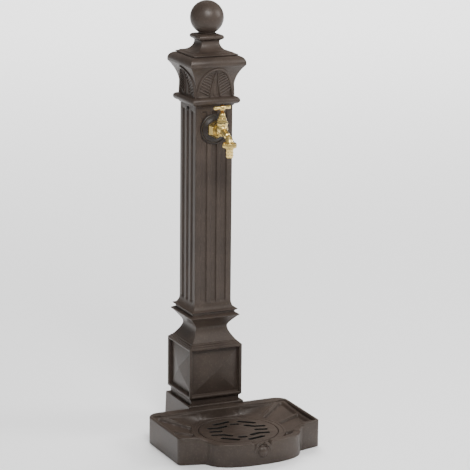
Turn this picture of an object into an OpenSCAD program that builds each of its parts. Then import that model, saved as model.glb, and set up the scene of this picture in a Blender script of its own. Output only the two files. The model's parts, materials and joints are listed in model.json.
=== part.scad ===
// Garden water column: a square fluted standpipe of cast metal on a bow-fronted
// catch basin with a loose grate, and a brass bib tap with a T-handle.
// Millimetres, +Z up, the tap faces -Y.

/* [Basin] */
// Width of the basin
basin_w = 350; // [300:1:420]
// From the column's axis to the front of the bow
bow_front = 330; // [290:1:400]
// From the column's axis to the straight part of the basin's front
shoulder_front = 258; // [235:1:275]
// From the column's axis to the basin's rear wall
basin_rear = 61; // [55:1:66]
// Height of the basin's rim
rim_h = 63.5; // [58:0.5:75]
// Height of the lower rim along the bow
bow_rim_h = 53; // [49:0.5:56]
// Half the width of the bow
bow_half = 114; // [105:1:125]
// Thickness of the rim at the sides
rim_t = 9; // [7:0.5:14]
// Thickness of the rim around the bow
lip_t = 17; // [12:1:22]
// Thickness of the cast walls and floors
cast_t = 6; // [4:0.5:8]
// Width of the pedestal that carries the column
pedestal_w = 140; // [136:1:150]
// Height of the pedestal's top
pedestal_h = 69; // [64:0.5:80]

/* [Grate] */
// Diameter of the loose grate
grate_d = 180; // [150:1:186]
// Thickness of the grate
grate_t = 6; // [4:0.5:8]
// From the column's axis to the grate's centre
grate_y = 192; // [185:1:196]
// Width of each slot in the grate
slot_w = 10; // [5:0.5:12]
// How far the grate lifts out of its seat
grate_lift = 40; // [20:1:60]
// Diameter of the waste pipe under the sump
waste_d = 32; // [25:1:40]

/* [Plinth] */
// Width of the square die block
die_w = 132; // [124:1:136]
// Height of the die block
die_h = 121; // [90:1:150]
// Height of the recess under the die block
recess_h = 15; // [10:1:20]
// Width of the recess
recess_w = 121; // [112:1:122]
// Height of the throat and lip above the die block
neck_h = 75; // [65:1:95]
// Width of the throat at its waist
waist_w = 78; // [74:1:90]
// Width of the lip above the throat
lip_w = 122; // [112:1:130]

/* [Shaft] */
// Width of the square shaft
shaft_w = 91; // [84:1:100]
// Height from the plinth's top to the capital
shaft_h = 484; // [360:1:600]
// Width over the flared foot of the shaft
flare_w = 116; // [108:1:118]
// Wall thickness of the shaft
shaft_t = 4.5; // [4:0.5:6]
// Width of each flute
flute_w = 15; // [10:0.5:17]
// Depth of each flute
flute_d = 2.8; // [1.5:0.1:3]
// Distance from one flute to the next
flute_pitch = 24.2; // [20:0.1:25]

/* [Capital] */
// Height of the capital, from its ring to the top of its cornice
capital_h = 117; // [100:1:140]
// Width over the ring at the capital's foot
ring_w = 117; // [108:1:120]
// Width over the cornice
cornice_w = 137; // [125:1:150]
// Height of the roof above the cornice
roof_h = 44; // [38:1:60]
// Width of the slab under the ball
slab_w = 60; // [50:1:66]
// Diameter of the ball
ball_d = 77; // [60:1:90]
// How far the arches and leaves stand off the capital
relief_t = 1.6; // [1:0.1:2.5]

/* [Tap] */
// Height of the tap's inlet above the ground
tap_h = 713; // [660:1:716]
// From the face of the shaft to the spindle
spindle_reach = 42.5; // [42:0.5:50]
// From the spindle to the outlet
outlet_reach = 42; // [38:1:50]
// Bore of the tap
tap_bore = 13; // [10:0.5:14]
// Outer diameter of the tap's inlet thread
inlet_d = 26; // [24:0.5:27]
// Width across the flats of the wall nut
wall_nut_af = 37; // [32:1:38]
// Diameter of the rose behind the wall nut
rose_d = 70; // [60:1:76]
// Length of the T-handle's bar
handle_l = 44; // [36:1:50]
// Diameter of the T-handle's bar
handle_d = 9; // [7:0.5:10]
// Turn of the T-handle at rest
handle_turn = 10; // [0:1:30]
// Diameter of the spindle
spindle_d = 8; // [7:0.5:9]
// Rise of the spindle over its whole travel
spindle_rise = 6; // [4:0.5:6]
// Outer diameter of the union nut
union_d = 31.5; // [30:0.5:36]
// Outer diameter of the hose tail
hose_d = 17.5; // [15:0.5:19]
// Length of the hose tail below the union nut
hose_l = 23; // [18:1:35]

/* [Pipe] */
// Diameter of the rising pipe
pipe_d = 21; // [18:0.5:22]
// Diameter of the supply thread at the back
supply_d = 21; // [18:0.5:26]
// Length of the supply thread that stands out at the back
supply_l = 14; // [10:1:25]
// Height of the supply connection
supply_h = 34; // [30:1:38]

/* [Fits] */
// Clearance between pieces that are screwed or set together
fit = 0.15; // [0.05:0.05:0.3]
// Clearance between pieces that move past each other
run_fit = 0.06; // [0.02:0.01:0.1]
// Gap between a loose piece and its seat
loose_gap = 0.3; // [0.2:0.1:0.5]

/* [Hidden] */
$fn = 64;
bronze = "#5d5550";
dark_bronze = "#453d38";
brass = "#d9bd7c";
steel = "#a9a9a9";
black = "#262626";
copper = "#b87348";

// The origin lies on the ground, midway between the bow and the supply thread.
back_reach = pedestal_w / 2 + 1 + supply_l;
column_y = (bow_front - back_reach) / 2;

// Heights of the column, from the ground up
die_z = pedestal_h + recess_h;
neck_z = die_z + die_h;
shaft_z = neck_z + neck_h;
capital_z = shaft_z + shaft_h;
cornice_top = capital_z + capital_h;
roof_top = cornice_top + roof_h;
slab_t = 14;
slab_z = roof_top - slab_t - 1;
ball_r = ball_d / 2;
ball_z = roof_top + ball_r - 2;

// Cavities of the castings
ped_in = pedestal_w / 2 - 7;
die_in = die_w / 2 - 9;
throat_in = waist_w / 2 - cast_t;
shaft_in = shaft_w / 2 - shaft_t;
plate_t = 8;
pipe_hole_r = pipe_d / 2 + 4;

// Grate and sump
grate_r = grate_d / 2;
seat_r = grate_r + 1.5;
sump_r = grate_r - 6;
grate_top = 41;
grate_turn = -13;
seat_z = grate_top - grate_t - loose_gap;
sump_floor = 20;
sump_under = sump_floor - cast_t;
waste_r = waste_d / 2;
waste_foot = 1;
waste_flange = 7;
waste_nut_h = 6;
waste_nut_z = sump_under - waste_nut_h;
ring_edge = grate_r + 9;
floor_slope = 0.21;

// Fasteners
m8 = 4;
m6 = 3;
m5 = 2.5;
base_bolt_at = 44;
shaft_bolt_at = 24;
roof_screw_at = 15;
washer_t = 1.6;
// Groove where a pipe's thread runs out
groove_l = 1.5;
groove_d = 1;

// Tap
face_y = -shaft_w / 2;
rose_t = 7;
nut_back = face_y - rose_t;
nut_t = 7;
nut_front = nut_back - nut_t;
cone_l = 9;
body_back = nut_front - cone_l;
spindle_y = face_y - spindle_reach;
outlet_y = spindle_y - outlet_reach;
body_z = tap_h + 8;
body_r = 13.5;
body_top = body_z + 14;
inlet_r = inlet_d / 2;
bore_r = tap_bore / 2;
spout_z = tap_h - 17;
thread_r = 12.5;
nut_h = 11;
nut_z = spout_z - nut_h;
nut_floor = 1.7;
flange_t = 1.5;
thread_z = nut_z + nut_floor + flange_t + washer_t;
bonnet_af = 19;
bonnet_h = 9;
gasket_t = 1;
bonnet_z = body_top + gasket_t;
gland_z = bonnet_z + bonnet_h;
gland_h = 12;
valve_r = 9;
seat_level = body_z - 4;
jumper_t = 3.5;
spindle_z = seat_level + 3 + jumper_t + loose_gap;
handle_z = gland_z + gland_h + spindle_rise + 6;
bonnet_skirt = bonnet_z - spindle_z - spindle_rise - 0.7;

// ---------------------------------------------------------------- helpers

module on_column() translate([0, column_y, 0]) children();

function arc(cx, cy, r, a0, a1, n) = [
    for (i = [0:n]) let (a = a0 + (a1 - a0) * i / n) [cx + r * cos(a), cy + r * sin(a)]
];

function flip(points) = [for (i = [len(points) - 1:-1:0]) [-points[i][0], points[i][1]]];

// A square moulding: half widths and heights, read from the bottom up
module square_turned(half) {
    reach = 2 * max([for (p = half) p[0]]) + 2;
    intersection() {
        rotate([90, 0, 0]) linear_extrude(reach, center = true) polygon(concat(half, flip(half)));
        rotate([90, 0, 90]) linear_extrude(reach, center = true) polygon(concat(half, flip(half)));
    }
}

module box_cut(half, z0, z1) translate([-half, -half, z0]) cube([2 * half, 2 * half, z1 - z0]);

module hole(r, z0, z1) translate([0, 0, z0]) cylinder(r = r, h = z1 - z0);

module four(at) for (x = [-at, at], y = [-at, at]) translate([x, y, 0]) children();

module hex(af, h) cylinder(r = af / sqrt(3), h = h, $fn = 6);

// A hexagon-headed screw: its head lies below z = 0 and its shank stands up
module hex_screw(r, len) {
    translate([0, 0, -1.3 * r]) hex(3.3 * r, 1.3 * r);
    cylinder(r = r, h = len);
}

module washer(r, t) difference() {
    cylinder(r = 2.1 * r, h = t);
    translate([0, 0, -1]) cylinder(r = r + fit, h = t + 2);
}

// ------------------------------------------------------------------ basin

bow_depth = bow_front - shoulder_front - 10;
bow_y = -(shoulder_front + 10);
fillet_r = 19;
corner_r = 12;
rear_r = 30;
bow_power = 2.3;

function bow(inset) = [
    for (t = [0:7.5:75])
        [(bow_half - inset) * pow(sin(t), 2 / bow_power),
         bow_y - (bow_depth - inset) * pow(cos(t), 2 / bow_power)]
];

// Half of the basin's outline, drawn inwards by side_in at the sides and bow_in at the bow
function half_outline(side_in, bow_in) = let (
    half_w = basin_w / 2,
    bow_pts = bow(bow_in),
    fillet_x = bow_half + fillet_r - 2,
    fillet_y = bow_y - fillet_r + 0.5
) concat(
    bow_pts,
    arc(fillet_x, fillet_y, fillet_r + min(bow_in, side_in), 170, 95, 5),
    arc(half_w - corner_r, corner_r - shoulder_front, max(corner_r - side_in, 2), -70, 0, 4),
    arc(half_w - rear_r, -(basin_rear + rear_r), rear_r - side_in, 0, 90, 8)
);

function outline(side_in, bow_in) =
    let (h = half_outline(side_in, bow_in)) concat(h, [for (p = flip(h)) if (p[0] < -0.01) p]);

// Everything above or below the dished floor, as a cone about the grate
module dish(ring_h, top) {
    reach = 180;
    above = top + 60;
    translate([0, -grate_y, 0]) rotate_extrude($fn = 96) polygon([
        [0, ring_h], [ring_edge, ring_h],
        [ring_edge + reach, ring_h + reach * floor_slope], [ring_edge + reach, above], [0, above]
    ]);
}

// The rim falls from the shoulders to the bow, with a spill notch in the middle
module bow_rim_cut() {
    knee = bow_half - 6;
    notch = 26;
    line = [
        [0, bow_rim_h - 12], [8, bow_rim_h - 11.5], [18, bow_rim_h - 4], [notch, bow_rim_h],
        [knee, bow_rim_h], [knee + 24, rim_h + 0.5], [knee + 24, rim_h + 20]
    ];
    translate([0, -shoulder_front - 1, 0]) rotate([90, 0, 0])
        linear_extrude(bow_front - shoulder_front + 10) polygon(concat(line, [for (p = flip(line)) if (p[0] < 0) p]));
}

// One sunk panel of the dished floor, between two ribs
module floor_panel(a0, a1) {
    half_rib = 4;
    near = ring_edge + 8;
    far = 230;
    function off(r) = half_rib / r * 180 / PI;
    translate([0, -grate_y, 0]) linear_extrude(rim_h * 2) polygon(concat(
        arc(0, 0, near, a0 + off(near), a1 - off(near), 4),
        arc(0, 0, far, a1 - off(far), a0 + off(far), 4)
    ));
}

rib_angles = [-152, -118, -62, -28, 9, 35, 62, 118, 145, 171, 208];

module basin() on_column() color(bronze) difference() {
    union() {
        linear_extrude(rim_h, convexity = 6) polygon(outline(0, 0));
        square_turned([[pedestal_w / 2 + 1, 0], [pedestal_w / 2 - 1, pedestal_h]]);
        spill_boss();
    }
    // dished inside
    difference() {
        intersection() {
            linear_extrude(120, convexity = 6) polygon(outline(rim_t, lip_t));
            dish(grate_top, rim_h);
        }
        translate([-pedestal_w / 2, -pedestal_w / 2 - 19, 0]) cube([pedestal_w, pedestal_w, 130]);
        translate([-basin_w, -basin_rear - 16, 0]) cube([2 * basin_w, 200, 130]);
    }
    // sunk panels between the ribs
    difference() {
        intersection() {
            linear_extrude(120, convexity = 6) polygon(outline(rim_t + 7, lip_t + 7));
            dish(grate_top - 3, rim_h);
            union() for (i = [0:len(rib_angles) - 2]) floor_panel(rib_angles[i], rib_angles[i + 1]);
        }
        translate([-pedestal_w / 2 - 6, -pedestal_w / 2 - 26, 0]) cube([pedestal_w + 12, pedestal_w, 130]);
        translate([-basin_w, -basin_rear - 23, 0]) cube([2 * basin_w, 200, 130]);
    }
    bow_rim_cut();
    // seat for the grate, sump and waste hole
    translate([0, -grate_y, 0]) {
        hole(seat_r, seat_z, rim_h);
        hole(sump_r, sump_floor, seat_z + 1);
        hole(waste_r + fit, 0, sump_floor + 1);
    }
    // hollow underneath, around the sump
    difference() {
        translate([0, 0, -1]) linear_extrude(120, convexity = 6) polygon(outline(cast_t, cast_t));
        dish(grate_top - 3 - cast_t, rim_h);
        translate([0, -grate_y, 0]) cylinder(r = seat_r + cast_t, h = 120);
        translate([-basin_w, -pedestal_w / 2 - 5, -2]) cube([2 * basin_w, 200, 130]);
    }
    translate([0, -grate_y, 0]) hole(seat_r, -1, sump_under);
    // hollow pedestal, with its plate drilled for the plinth and its back for the supply
    box_cut(ped_in, -1, pedestal_h - plate_t);
    hole(pipe_hole_r + 4, 0, pedestal_h + 1);
    four(base_bolt_at) hole(m8 + 0.4, 0, pedestal_h + 1);
    translate([0, 0, supply_h]) rotate([-90, 0, 0]) hole(supply_d / 2 + fit, ped_in - 4, pedestal_w);
}

// A ball between two scrolls, on the front wall under the spill notch
module spill_boss() translate([0, -bow_front + 13, bow_rim_h - 22]) {
    sphere(r = 13);
    for (s = [0, 1]) mirror([s, 0, 0]) intersection() {
        translate([0, -7, 0]) rotate([90, 0, 0]) rotate_extrude() translate([21, 0]) circle(r = 4.5);
        translate([12, -20, -10]) cube([20, 40, 26]);
    }
}

// ------------------------------------------------------------------ grate

// The slots run in bent rows either side of a plain middle
module slot(a, b) {
    d = b - a;
    l = norm(d);
    translate([a[0], a[1]]) rotate(atan2(d[1], d[0])) {
        translate([0, -slot_w / 2]) square([l, slot_w]);
        circle(d = slot_w, $fn = 24);
        translate([l, 0]) circle(d = slot_w, $fn = 24);
    }
}

module slot_rows() {
    k = grate_r / 90;
    for (s = [-1, 1], u = [-1, 1]) scale([s * k, u * k]) {
        slot([42, 0], [63, 0]);
        slot([42, 24], [63, 24]);
        slot([24, 34], [42, 24]);
        slot([14, 64], [46, 49]);
    }
    for (u = [-1, 1]) scale([k, u * k]) slot([-6, 46], [6, 46]);
}

module grate() on_column() color(dark_bronze)
    translate([0, -grate_y, grate_top - grate_t]) difference() {
        union() {
            cylinder(r = grate_r, h = grate_t, $fn = 96);
            hole(sump_r - 1, -3, 1);
        }
        hole(sump_r - 5, -4, 0);
        rotate(grate_turn) translate([0, 0, -1]) linear_extrude(grate_t + 2, convexity = 8) slot_rows();
    }

// The waste spigot drops through the sump's floor; its nut is underneath
module waste_spigot() on_column() color(black) translate([0, -grate_y, 0]) difference() {
    union() {
        hole(waste_r, waste_foot, waste_nut_z - groove_l);
        hole(waste_r - groove_d, waste_foot, waste_nut_z);
        hole(waste_r, waste_nut_z, sump_floor + washer_t + 1);
        hole(waste_r + waste_flange, sump_floor + washer_t, sump_floor + washer_t + 3);
    }
    hole(waste_r - 3, waste_foot - 1, 40);
}

module waste_washer() on_column() color(dark_bronze) translate([0, -grate_y, sump_floor]) difference() {
    cylinder(r = waste_r + waste_flange, h = washer_t);
    hole(waste_r + fit, -1, 5);
}

module waste_nut() on_column() color(black) translate([0, -grate_y, waste_nut_z]) difference() {
    hex(waste_d + 10, waste_nut_h);
    hole(waste_r + fit, -1, 10);
}

// ----------------------------------------------------------------- plinth

// Die block, steps, throat and lip, as half widths from the bottom up
plinth_half = concat(
    [[recess_w / 2, pedestal_h], [recess_w / 2, die_z - 3.5], [die_w / 2, die_z], [die_w / 2, neck_z],
     [die_w / 2 - 5, neck_z + 2.5], [die_w / 2 - 5, neck_z + 4.5], [die_w / 2 - 9, neck_z + 6.5],
     [die_w / 2 - 9, neck_z + 8.5]],
    [for (a = [10:10:90]) let (rx = die_w / 2 - 11 - waist_w / 2, rz = neck_h * 0.53 - 8.5)
        [waist_w / 2 + rx * (1 - sin(a)), neck_z + 8.5 + rz * (1 - cos(a))]],
    [for (a = [15:15:75]) let (rx = lip_w / 2 - 3 - waist_w / 2, rz = neck_h * 0.36)
        [waist_w / 2 + rx * (1 - cos(a)), neck_z + neck_h * 0.53 + rz * sin(a) * 0.92]],
    [[lip_w / 2 - 1.5, shaft_z - 7.5], [lip_w / 2, shaft_z - 6], [lip_w / 2 - 1, shaft_z - 3.5],
     [flare_w / 2 - 5.5, shaft_z]]
);

// A four-sided point on a face, made by crossing two wedges
module diamond_point(w, h, depth) intersection() {
    linear_extrude(h, center = true) polygon([[-w / 2, 0.5], [0, -depth], [w / 2, 0.5]]);
    rotate([0, 90, 0]) linear_extrude(w, center = true) polygon([[-h / 2, 0.5], [0, -depth], [h / 2, 0.5]]);
}

module plinth() on_column() color(bronze) {
    frame_t = 6;
    sunk = 5;
    panel_w = die_w - 2 * frame_t;
    panel_h = die_h - 2 * frame_t;
    difference() {
        square_turned(plinth_half);
        for (a = [0:90:270]) rotate(a)
            translate([-panel_w / 2, -die_w / 2 - 1, die_z + frame_t]) cube([panel_w, sunk + 1, panel_h]);
        box_cut(die_in - sunk + 1, pedestal_h + plate_t, neck_z - 10);
        box_cut(throat_in, neck_z - 11, shaft_z - plate_t);
        hole(pipe_hole_r, pedestal_h - 1, shaft_z + 1);
        four(base_bolt_at) hole(m8 + fit, pedestal_h - 1, pedestal_h + plate_t + 1);
        four(shaft_bolt_at) hole(m6 + 0.3, shaft_z - plate_t - 1, shaft_z + 1);
    }
    for (a = [0:90:270]) rotate(a) translate([0, -die_w / 2 + sunk, die_z + die_h / 2])
        diamond_point(panel_w - 8, panel_h - 8, sunk + 1);
}

module plinth_bolts() on_column() color(steel)
    four(base_bolt_at) translate([0, 0, pedestal_h - plate_t - washer_t]) hex_screw(m8, plate_t + washer_t + 8);

module plinth_washers() on_column() color(steel)
    four(base_bolt_at) translate([0, 0, pedestal_h - plate_t - washer_t]) washer(m8, washer_t);

// ------------------------------------------------------------------ shaft

shaft_half = concat(
    [[flare_w / 2 - 5.5, shaft_z], [flare_w / 2 - 5.5, shaft_z + 4], [flare_w / 2, shaft_z + 7.5]],
    [for (a = [10:16:90]) let (rx = (flare_w - shaft_w) / 2 - 0.5, rz = 20)
        [shaft_w / 2 + rx * (1 - sin(a)), shaft_z + 8 + rz * (1 - cos(a))]],
    [[shaft_w / 2, shaft_z + 29], [shaft_w / 2, capital_z]]
);

// Cross-section of one flute: soft shoulders and a round bottom
module flute_section() polygon(concat(
    [[-flute_w / 2, -1], [flute_w / 2, -1]],
    [for (i = [5:-1:-5]) let (x = i * flute_w / 10)
        [x, flute_d * (1 + cos(360 * x / flute_w)) / 2]]
));

module shaft() on_column() color(bronze) difference() {
    square_turned(shaft_half);
    for (a = [0:90:270], i = [-1:1]) rotate(a) translate([i * flute_pitch, face_y, shaft_z + 24])
        linear_extrude(shaft_h - 32) flute_section();
    box_cut(shaft_in, shaft_z + plate_t, capital_z + 1);
    hole(pipe_hole_r, shaft_z - 1, shaft_z + plate_t + 1);
    four(shaft_bolt_at) hole(m6 + fit, shaft_z - 1, shaft_z + plate_t + 1);
    translate([0, 0, tap_h]) rotate([90, 0, 0]) hole(inlet_r + fit, shaft_in - 1, shaft_w);
    capital_screw_holes(m5 + 0.3, shaft_in - 1, shaft_w);
}

module shaft_bolts() on_column() color(steel)
    four(shaft_bolt_at) translate([0, 0, shaft_z - plate_t - washer_t]) hex_screw(m6, plate_t + washer_t + 7);

module shaft_washers() on_column() color(steel)
    four(shaft_bolt_at) translate([0, 0, shaft_z - plate_t - washer_t]) washer(m6, washer_t);

// ---------------------------------------------------------------- capital

spigot_l = 22;
screw_z = capital_z - 8;
throat_z = capital_z + 23;
cornice_z = capital_z + capital_h - 23;
bell_half = shaft_w / 2 + 1;

// Hollow bell between the ring and the cornice
bell_pts = [for (a = [0:16:80]) let (rx = cornice_w / 2 - 5 - bell_half, rz = cornice_z - throat_z - 14)
    [bell_half + rx * (1 - cos(a)), throat_z + 14 + rz * sin(a)]];

capital_half = concat(
    [[shaft_w / 2 + 0.5, capital_z], [shaft_w / 2 + 3.5, capital_z + 4]],
    arc(ring_w / 2 - 8, capital_z + 13, 8, -80, 80, 8),
    [[bell_half + 2, capital_z + 21.5], [bell_half, throat_z + 2]],
    bell_pts,
    arc(cornice_w / 2 - 16, capital_z + capital_h - 17, 16, -30, 80, 8)
);

function raised(points, by) = [for (p = points) [p[0] + by, p[1]]];

// Half an ellipse, from right to left, over the throat
function arch_curve(w, h, n) = [for (i = [0:n]) [w * cos(180 * i / n), h * sin(180 * i / n)]];

function backwards(points) = [for (i = [len(points) - 1:-1:0]) points[i]];

// Arch, centre leaf and fan of ribs on one face
module palmette() {
    h = cornice_z - throat_z + 4;
    w = shaft_w / 2 + 0.5;
    band = 5;
    gap = 2;
    polygon(concat(arch_curve(w, h, 14), backwards(arch_curve(w - band, h - band, 14))));
    for (a = [15:15:165]) if (a != 90) {
        reach = 1 / norm([cos(a) / (w - band - gap), sin(a) / (h - band - gap)]);
        rotate(a) polygon([[14, -0.9], [reach - 2, -2.8], [reach, 0], [reach - 2, 2.8], [14, 0.9]]);
    }
    polygon([[-7, 0], [-2.5, h - band - gap - 3], [0, h - band - gap], [2.5, h - band - gap - 3], [7, 0]]);
}

module capital() on_column() color(bronze) difference() {
    union() {
        square_turned(capital_half);
        intersection() {
            square_turned(concat([[bell_half + relief_t, throat_z]], raised(bell_pts, relief_t)));
            for (a = [0:90:270]) rotate(a) translate([0, -bell_half + 3, throat_z]) rotate([90, 0, 0])
                linear_extrude(cornice_w / 2 - bell_half) palmette();
        }
        box_cut(shaft_in - fit, capital_z - spigot_l, capital_z + 1);
    }
    box_cut(shaft_in - fit - cast_t + 1, capital_z - spigot_l - 1, cornice_z + 3);
    hole(m8 + 2, capital_z, cornice_top + 1);
    capital_screw_holes(m5 + fit, 0, shaft_w);
    four(roof_screw_at) hole(m5 + fit, cornice_z, cornice_top + 1);
}

module capital_screw_holes(r, from, to) for (s = [-1, 1]) scale([s, 1, 1])
    translate([0, 0, screw_z]) rotate([0, 90, 0]) hole(r, from, to);

// A round-headed screw in each side face holds the capital's spigot in the shaft
module capital_screws() on_column() color(dark_bronze) for (a = [0, 180]) rotate(a)
    translate([shaft_w / 2, 0, screw_z]) rotate([0, 90, 0]) difference() {
        union() {
            hole(m5, -shaft_t - cast_t, 1);
            intersection() {
                hole(5.2, 0, 4);
                translate([0, 0, -4]) sphere(r = 7);
            }
        }
        translate([-6, -0.7, 2]) cube([12, 1.4, 3]);
    }

// ------------------------------------------------------------ roof and ball

roof_half = concat(
    [[cornice_w / 2 - 14, cornice_top], [cornice_w / 2 - 14, cornice_top + 2], [cornice_w / 2 - 19, cornice_top + 2.5],
     [cornice_w / 2 - 22, cornice_top + 5]],
    [for (a = [15:15:90]) let (rx = cornice_w / 2 - 23 - 22, rz = roof_h - slab_t - 10)
        [22 + rx * (1 - sin(a)), cornice_top + 5 + rz * (1 - cos(a))]],
    [[22, slab_z - 1]],
    arc(slab_w / 2 - 5.5, slab_z + slab_t / 2, 5.5, -70, 70, 6),
    [[slab_w / 2 - 9, roof_top]]
);

module roof() on_column() color(bronze) difference() {
    square_turned(roof_half);
    hole(16, cornice_top - 1, slab_z - 4);
    hole(m8 + 0.4, cornice_top, roof_top + 1);
    four(roof_screw_at) hole(m5 + fit, cornice_top - 1, cornice_top + 5);
}

// Screws driven up through the capital's top into the roof
module roof_screws() on_column() color(steel)
    four(roof_screw_at) translate([0, 0, cornice_z + 3]) hex_screw(m5, cornice_top - cornice_z + 1);

module ball() on_column() color(bronze) difference() {
    union() {
        translate([0, 0, ball_z]) sphere(r = ball_r, $fn = 96);
        translate([0, 0, roof_top + 3]) rotate_extrude() translate([16.5, 0]) circle(r = 3.5, $fn = 24);
    }
    box_cut(ball_r, roof_top - 10, roof_top);
    hole(m8 + fit, roof_top - 1, roof_top + 26);
}

module ball_stud() on_column() color(steel) hole(m8, slab_z - 16, roof_top + 25);

module stud_washer() on_column() color(steel) translate([0, 0, slab_z - 4 - washer_t]) washer(m8, washer_t);

module stud_nut() on_column() color(steel) translate([0, 0, slab_z - 4 - washer_t - 6.5]) difference() {
    hex(13, 6.5);
    hole(m8 + fit, -1, 8);
}

// -------------------------------------------------------------------- tap

module along_inlet() on_column() translate([0, 0, tap_h]) rotate([90, 0, 0]) children();

module rose() color(dark_bronze) along_inlet() difference() {
    translate([0, 0, -face_y]) rotate_extrude() polygon([
        [0, 0], [rose_d / 2, 0], [rose_d / 2, 2.5], [rose_d / 2 - 3, 4], [rose_d / 2 - 7, 3],
        [rose_d / 2 - 11, 4.5], [inlet_r + 9, rose_t], [0, rose_t]
    ]);
    hole(inlet_r + fit, -face_y - 1, -nut_back + 1);
}

// Coned wall nut that clamps the rose
module wall_nut() color(brass) along_inlet() difference() {
    union() {
        translate([0, 0, -nut_back]) rotate(30) hex(wall_nut_af, nut_t);
        translate([0, 0, -nut_front - 1]) cylinder(r1 = wall_nut_af / 2, r2 = inlet_r + 2.5, h = cone_l + 1);
    }
    hole(inlet_r + fit, -nut_back - 1, -body_back + 1);
}

// Angle at which the spout leans forward, and its length
spout_from = [spindle_y - 3, body_z - 3];
spout_to = [outlet_y, spout_z + 3];
spout_len = norm(spout_to - spout_from);
spout_lean = atan2(spout_from[0] - spout_to[0], spout_from[1] - spout_to[1]);

module spout_line() translate([0, spout_to[0], spout_to[1]]) rotate([-spout_lean, 0, 0]) children();

module tap_body() on_column() color(brass) difference() {
    union() {
        translate([0, 0, tap_h]) rotate([90, 0, 0]) {
            hole(inlet_r, shaft_in - 17, -body_back);
            hole(inlet_r - 1.5, -body_back - 1, -spindle_y - 4);
        }
        translate([0, spindle_y, body_z]) sphere(r = body_r);
        translate([0, spindle_y, 0]) hole(body_r - 1.5, body_z, body_top);
        translate([0, spindle_y, 0]) hole(body_r, body_top - 4, body_top);
        spout_line() cylinder(r = 8, h = spout_len);
        translate([0, outlet_y, spout_z + 3]) sphere(r = 8.6);
        translate([0, outlet_y, 0]) hole(thread_r, thread_z, spout_z);
        translate([0, outlet_y, 0]) hole(10, spout_z - 1, spout_z + 3);
    }
    // way in, valve chamber, seat and way out
    translate([0, 0, tap_h]) rotate([90, 0, 0]) hole(bore_r, shaft_in - 18, -spindle_y - 9);
    translate([0, spindle_y, 0]) hole(valve_r, seat_level, body_top + 1);
    translate([0, spindle_y, 0]) hole(bore_r - 1.5, body_z - 10, body_top);
    translate([0, outlet_y, 0]) hole(bore_r, thread_z - 1, spout_z + 3);
    spout_line() cylinder(r = bore_r - 1.5, h = spout_len - 4);
    translate([0, outlet_y, spout_z + 3]) sphere(r = bore_r);
}

module on_spindle(z) on_column() translate([0, spindle_y, z]) children();

module bonnet_gasket() color(black) on_spindle(body_top) difference() {
    cylinder(r = body_r - 1, h = gasket_t);
    hole(valve_r - fit, -1, 3);
}

module bonnet() color(brass) on_spindle(bonnet_z) difference() {
    union() {
        hex(bonnet_af, bonnet_h);
        cylinder(r = body_r - 1, h = 3);
        hole(valve_r - 2 * fit, -bonnet_skirt, 1);
    }
    hole(spindle_d / 2 + run_fit, -8, bonnet_h + 1);
    hole(6.5, bonnet_h - 3, bonnet_h + 1);
    hole(spindle_d / 2 + 2.2, -8, 0.5);
}

module gland_packing() color(black) on_spindle(gland_z - 3) difference() {
    cylinder(r = 6.5 - fit, h = 3 - fit);
    hole(spindle_d / 2 + run_fit, -1, 4);
}

module gland_nut() color(brass) on_spindle(gland_z) difference() {
    union() {
        cylinder(r1 = 8.4, r2 = 7, h = gland_h - 2);
        cylinder(r = 8.4, h = 3);
        cylinder(r = 6, h = gland_h);
    }
    hole(spindle_d / 2 + run_fit, -1, gland_h + 1);
}

// The spindle carries a screw collar inside the bonnet and turns with the handle
module spindle() color(brass) on_spindle(spindle_z) difference() {
    hole(spindle_d / 2, 0, handle_z + handle_d / 2 - spindle_z);
    hole(1.5, handle_z - spindle_z - 2, handle_z + handle_d - spindle_z);
    hole(2.1, -1, 6);
}

module handle() color(brass) on_spindle(handle_z) difference() {
    union() {
        rotate([90, 0, 90 + handle_turn]) cylinder(d = handle_d, h = handle_l - handle_d, center = true);
        rotate(handle_turn) for (s = [-1, 1]) translate([s * (handle_l - handle_d) / 2, 0, 0]) sphere(d = handle_d);
        hole(spindle_d / 2 + 2.5, -handle_d / 2 - 1.5, handle_d / 2);
    }
    hole(spindle_d / 2 + fit, -handle_d, handle_d);
}

module handle_screw() color(brass) on_spindle(handle_z + handle_d / 2) difference() {
    union() {
        hole(1.5 - fit, -6, 0.5);
        intersection() {
            hole(spindle_d / 2 + 1.5, 0, 3);
            translate([0, 0, -4.5]) sphere(r = 7);
        }
    }
    translate([-6, -0.5, 1.6]) cube([12, 1, 3]);
}

// The jumper lifts off its seat with the spindle but does not turn
module jumper() color(brass) on_spindle(spindle_z - loose_gap - jumper_t) {
    cylinder(r = 6.5, h = jumper_t);
    hole(2, jumper_t - 1, jumper_t + 5);
    hole(1.8, -2.6, 1);
}

module jumper_washer() color(black) on_spindle(seat_level + loose_gap) difference() {
    cylinder(r = 6.5, h = 3 - loose_gap);
    hole(1.8 + fit, -1, 4);
}

module on_outlet(z) on_column() translate([0, outlet_y, z]) children();

module union_nut() color(brass) on_outlet(nut_z) difference() {
    union() {
        cylinder(d = union_d - 1.2, h = nut_h);
        for (i = [0:17]) rotate(i * 20) translate([union_d / 2 - 1, 0, 1]) cylinder(r = 1, h = nut_h - 2);
    }
    hole(thread_r + fit, nut_floor, nut_h + 1);
    hole(hose_d / 2 - 1 + fit, -1, nut_floor + 1);
}

module hose_washer() color(black) on_outlet(thread_z - washer_t) difference() {
    cylinder(r = thread_r - fit, h = washer_t);
    hole(bore_r, -1, 4);
}

module hose_tail() color(brass) on_outlet(nut_z) difference() {
    bell = hose_d / 2 - 1;
    union() {
        hole(thread_r - fit, nut_floor, nut_floor + flange_t);
        hole(bell, -hose_l, nut_floor + 0.5);
        for (i = [0:2]) translate([0, 0, -hose_l + 2 + 7 * i]) cylinder(r1 = bell, r2 = hose_d / 2, h = 4);
    }
    hole(bore_r - 0.5, -hose_l - 1, 4);
}

// -------------------------------------------------------------- pipework

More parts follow.
